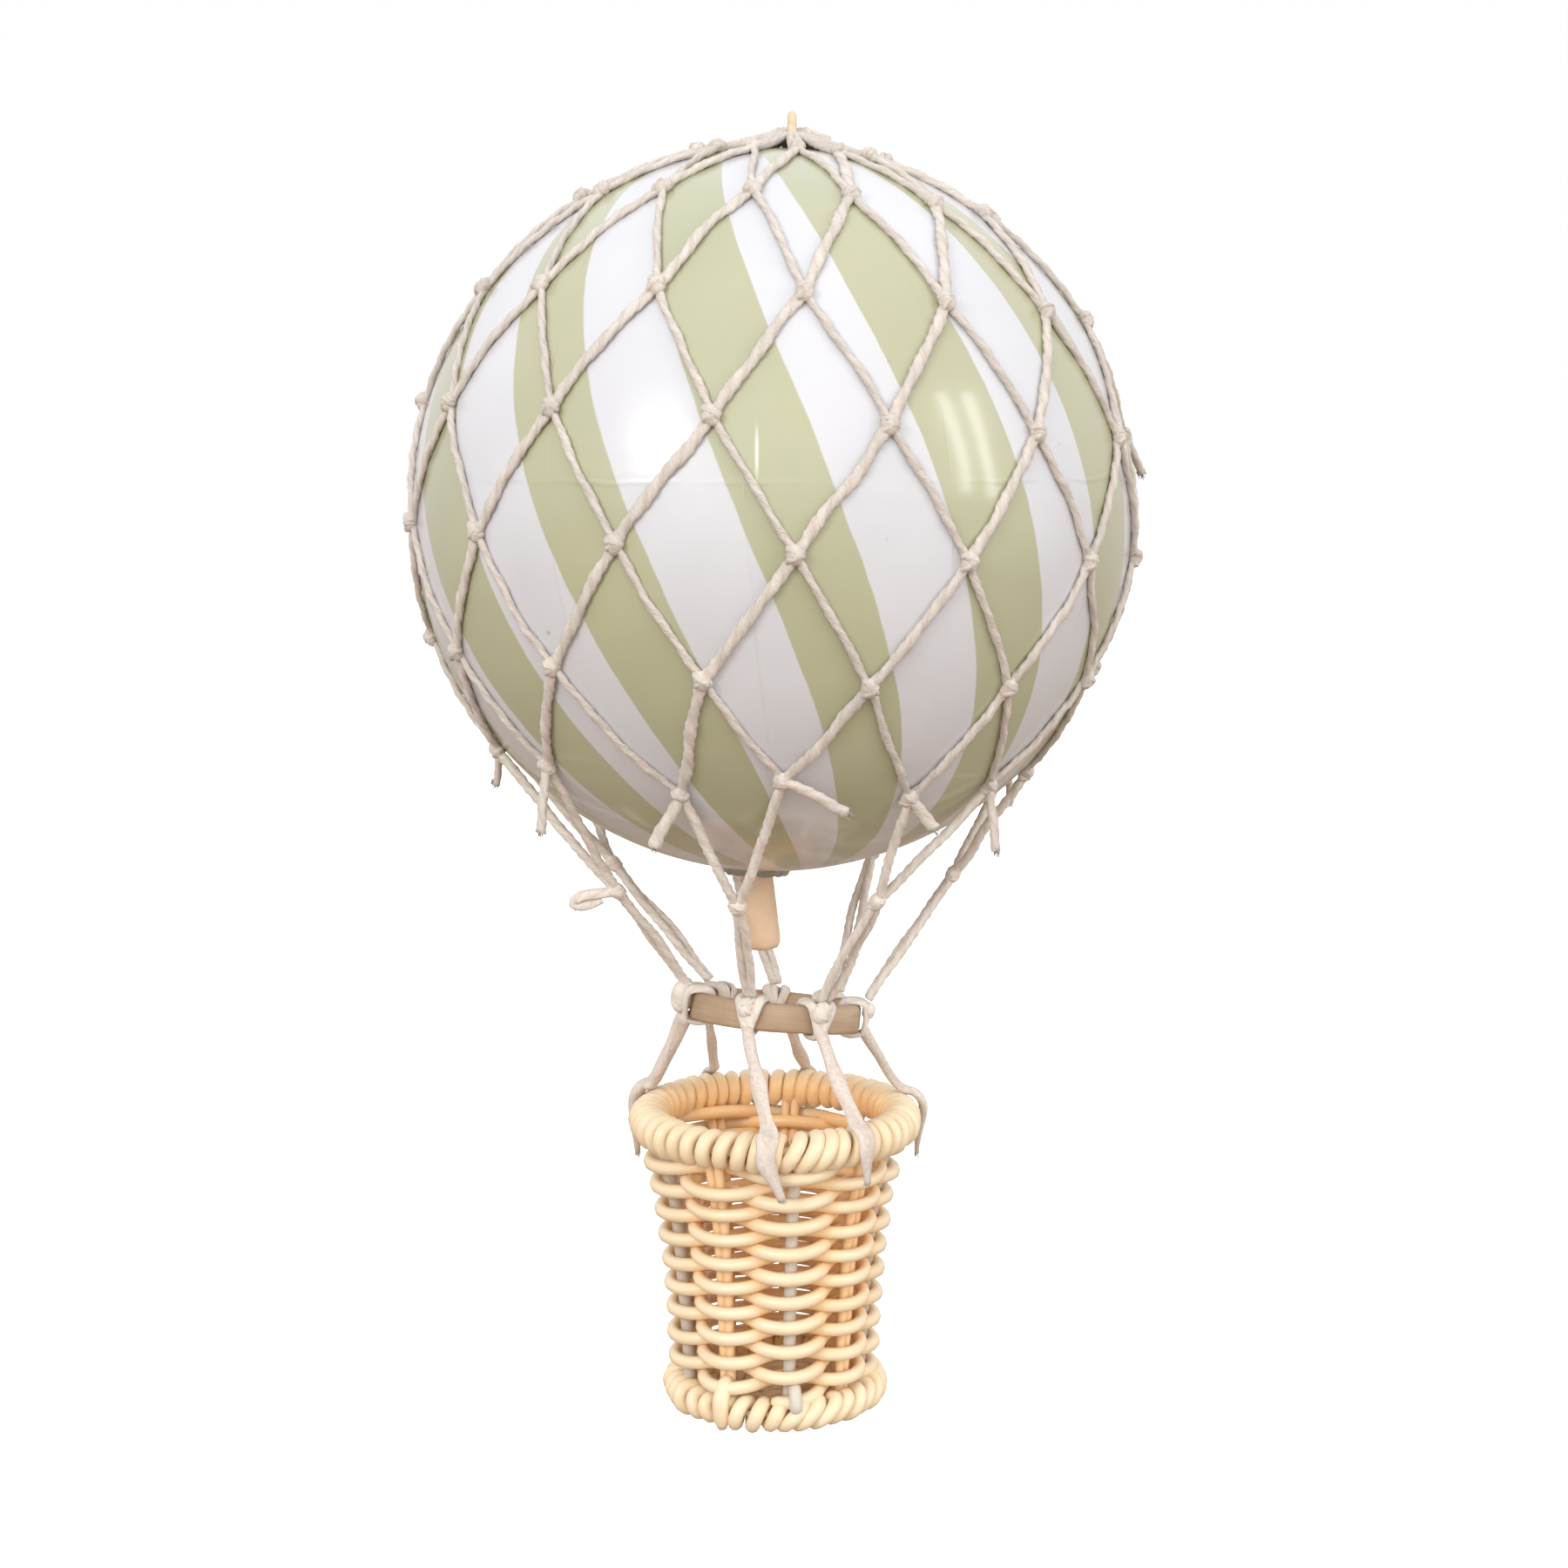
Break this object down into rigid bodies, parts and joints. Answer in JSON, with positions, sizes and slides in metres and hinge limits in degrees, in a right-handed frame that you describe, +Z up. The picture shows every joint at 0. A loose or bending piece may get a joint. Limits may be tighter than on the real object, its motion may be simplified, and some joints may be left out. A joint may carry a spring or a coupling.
{
  "type": "hanging hot air balloon mobile",
  "caption": "Nursery mobile: a varnished striped paper ball in a knotted cotton net that carries a small cane ring and an open rattan basket, hung by a ring at its crown.",
  "frame": {"origin": "the inside top of the hang ring, where the hanging thread bears", "axes": "+Z up, the thread's way; +X to the right and -Y towards the viewer of the picture"},
  "size_m": [0.1029, 0.1038, 0.1839],
  "materials": {
    "wire": "satin lacquered wire",
    "papier_mache": "varnished, sage green and white swirl stripes",
    "latex": "matte tan rubber",
    "net_cord": "twisted off-white cotton cord",
    "soft_cord": "soft flat cotton cord",
    "cane": "smooth bent cane",
    "rattan": "satin peeled rattan core"
  },
  "bodies": {
    "hanger": {"hang_ring": "wire"},
    "balloon": {"envelope": "papier_mache", "filler_neck": "latex", "net": "net_cord", "load_ring": "cane", "basket_rim": "rattan", "basket_wall": "rattan", "basket_floor": "rattan", "basket_foot": "rattan", "stay_1": "net_cord", "stay_2": "net_cord", "stay_3": "net_cord", "stay_4": "net_cord", "stay_5": "net_cord", "stay_6": "net_cord", "stay_7": "net_cord", "basket_cord_1": "soft_cord", "basket_cord_2": "soft_cord", "basket_cord_3": "soft_cord", "basket_cord_4": "soft_cord", "basket_cord_5": "soft_cord", "basket_cord_6": "soft_cord"}
  },
  "joints": [
    {"name": "swing", "type": "hinge", "parent": "hanger", "child": "balloon", "pos_m": [0, 0, -0.0015], "axis": [1, 0, 0], "range_deg": [-60, 60]}
  ]
}
